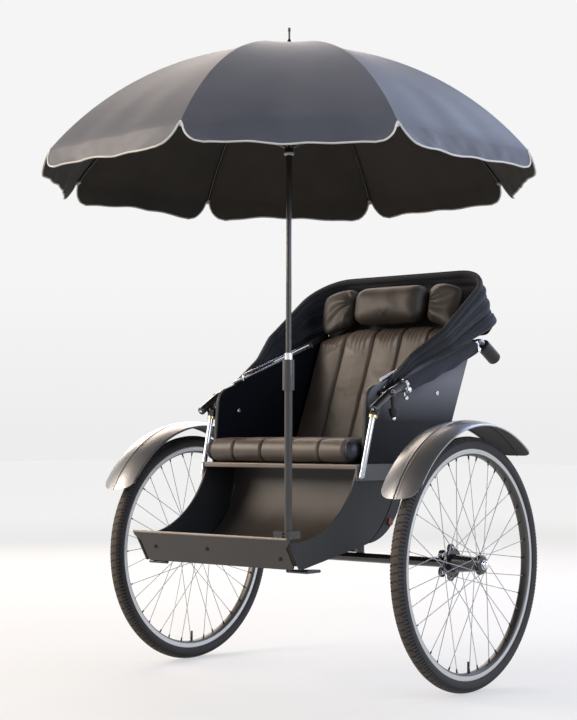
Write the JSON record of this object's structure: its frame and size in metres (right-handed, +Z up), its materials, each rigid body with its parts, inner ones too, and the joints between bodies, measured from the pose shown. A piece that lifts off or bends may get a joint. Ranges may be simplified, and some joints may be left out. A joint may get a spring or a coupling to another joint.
{
  "type": "cycle rickshaw passenger carriage",
  "caption": "Two-wheeled passenger carriage of a cycle rickshaw: wire wheels, curved footwell, leather seat, folding hood and a sliding parasol.",
  "frame": {"origin": "middle of the vertical kingpin socket behind the axle, where the cycle's frame pivots", "axes": "+Z up along the kingpin socket, -Y forward, +X to the passenger's left"},
  "size_m": [1.4901, 1.6329, 1.8119],
  "materials": {
    "tyre_rubber": "matt",
    "rim_aluminium": "polished sides, dark well",
    "spoke_steel": "bright",
    "hub_black": "gloss",
    "chassis_black": "gloss",
    "body_graphite": "satin",
    "tray_grey": "satin",
    "strap_grey": "satin",
    "leather": "soft sheen",
    "hood_fabric": "matt",
    "canopy_fabric": "matt",
    "chrome": "polished",
    "fender_silver": "satin",
    "grip_rubber": "matt",
    "pole_grey": "satin",
    "reflector_red": "gloss",
    "board_black": "matt"
  },
  "bodies": {
    "chassis": {"arm_tube_left": "chassis_black", "arm_tube_right": "chassis_black", "axle_beam": "chassis_black", "back_board": "board_black", "backrest_cushion": "leather", "fender_left": "fender_silver", "fender_right": "fender_silver", "fender_stays": "chassis_black", "footwell_sheet": "body_graphite", "front_tray": "tray_grey", "grips": "grip_rubber", "head_cushions": "leather", "heel_rails": "body_graphite", "hinge_fittings": "chrome", "lower_tube": "pole_grey", "panel_rails": "chrome", "pivot_socket": "chassis_black", "pole_collar": "chrome", "pole_foot": "chassis_black", "reflectors": "reflector_red", "scoop_plate_left": "body_graphite", "scoop_plate_right": "body_graphite", "seat_base": "tray_grey", "seat_cushion": "leather", "seat_hangers": "chassis_black", "seat_straps": "strap_grey", "side_panel_left": "body_graphite", "side_panel_right": "body_graphite", "spine": "chassis_black", "stirrups": "chassis_black", "struts": "chrome"},
    "wheel_left": {"tyre_left": "tyre_rubber", "rim_left": "rim_aluminium", "spokes_left": "spoke_steel", "hub_left": "hub_black"},
    "wheel_right": {"tyre_right": "tyre_rubber", "rim_right": "rim_aluminium", "spokes_right": "spoke_steel", "hub_right": "hub_black"},
    "hood_rear": {"hood_bow_rear": "chassis_black", "hood_fold_rear": "hood_fabric"},
    "hood_middle": {"hood_bow_middle": "chassis_black", "hood_fold_middle": "hood_fabric"},
    "hood_front": {"hood_bow_front": "chassis_black", "hood_fold_front": "hood_fabric"},
    "parasol": {"upper_tube": "pole_grey", "parasol_canopy": "canopy_fabric", "parasol_ribs": "chassis_black"}
  },
  "joints": [
    {"name": "wheel_left_spin", "type": "hinge", "parent": "chassis", "child": "wheel_left", "pos_m": [0.525, -0.165, -0.0265], "axis": [1, 0, 0], "continuous": true},
    {"name": "wheel_right_spin", "type": "hinge", "parent": "chassis", "child": "wheel_right", "pos_m": [-0.525, -0.165, -0.0265], "axis": [1, 0, 0], "continuous": true},
    {"name": "hood_rear_fold", "type": "hinge", "parent": "chassis", "child": "hood_rear", "pos_m": [0, -0.263, 0.4505], "axis": [1, 0, 0], "range_deg": [0, 9]},
    {"name": "hood_middle_fold", "type": "hinge", "parent": "hood_rear", "child": "hood_middle", "pos_m": [0, -0.263, 0.4505], "axis": [1, 0, 0], "range_deg": [0, 9]},
    {"name": "hood_front_fold", "type": "hinge", "parent": "hood_middle", "child": "hood_front", "pos_m": [0, -0.263, 0.4505], "axis": [1, 0, 0], "range_deg": [0, 9]},
    {"name": "parasol_slide", "type": "slide", "parent": "chassis", "child": "parasol", "axis": [0, 0, 1], "range_m": [0, 0.15]}
  ],
  "couplings": [
    {"joint": "hood_middle_fold", "follows": "hood_rear_fold", "ratio": 1},
    {"joint": "hood_front_fold", "follows": "hood_rear_fold", "ratio": 1}
  ]
}
